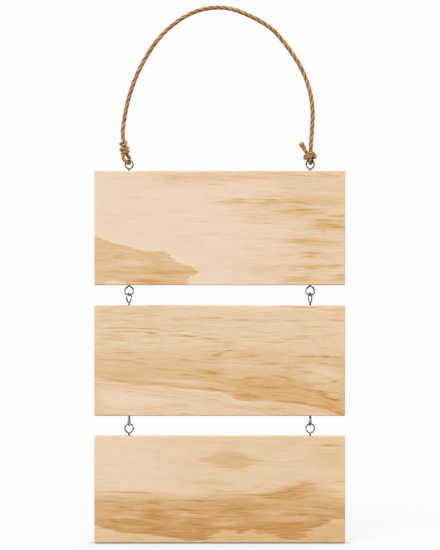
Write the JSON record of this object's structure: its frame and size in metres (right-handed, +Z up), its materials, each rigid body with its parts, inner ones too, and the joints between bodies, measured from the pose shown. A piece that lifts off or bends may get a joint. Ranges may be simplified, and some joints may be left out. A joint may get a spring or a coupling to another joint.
{
  "type": "hanging wooden plank sign",
  "caption": "Tiered blank hanging sign of bare pine planks linked edge to edge by screw eyes, carried by an arched twisted rope tied to the top eyes.",
  "frame": {"origin": "underside of the rope's apex, where a nail or hook carries the sign", "axes": "+X to the viewer's right along the planks, +Y from the front faces to the back, +Z up"},
  "size_m": [0.2984, 0.014, 0.6405],
  "materials": {
    "pine": "bare sanded pine, matt, with flat-sawn figure along the length",
    "plated_steel": "bright nickel-plated bent wire",
    "jute": "dry three-strand natural-fibre rope, slightly hairy"
  },
  "bodies": {
    "rope": {"hanging_rope": "jute", "left_rope_knot": "jute", "right_rope_knot": "jute"},
    "top_board": {"top_plank": "pine", "left_rope_eye": "plated_steel", "right_rope_eye": "plated_steel", "left_top_lower_eye": "plated_steel", "right_top_lower_eye": "plated_steel"},
    "middle_board": {"middle_plank": "pine", "left_middle_upper_eye": "plated_steel", "right_middle_upper_eye": "plated_steel", "left_middle_lower_eye": "plated_steel", "right_middle_lower_eye": "plated_steel"},
    "bottom_board": {"bottom_plank": "pine", "left_bottom_upper_eye": "plated_steel", "right_bottom_upper_eye": "plated_steel"}
  },
  "joints": [
    {"name": "top_board_swing", "type": "hinge", "parent": "rope", "child": "top_board", "pos_m": [0, 0, -0.1791], "axis": [1, 0, 0], "range_deg": [-60, 60]},
    {"name": "middle_board_swing", "type": "hinge", "parent": "top_board", "child": "middle_board", "pos_m": [0, 0, -0.34051], "axis": [1, 0, 0], "range_deg": [-110, 110]},
    {"name": "bottom_board_swing", "type": "hinge", "parent": "middle_board", "child": "bottom_board", "pos_m": [0, 0, -0.4938], "axis": [1, 0, 0], "range_deg": [-110, 110]}
  ]
}
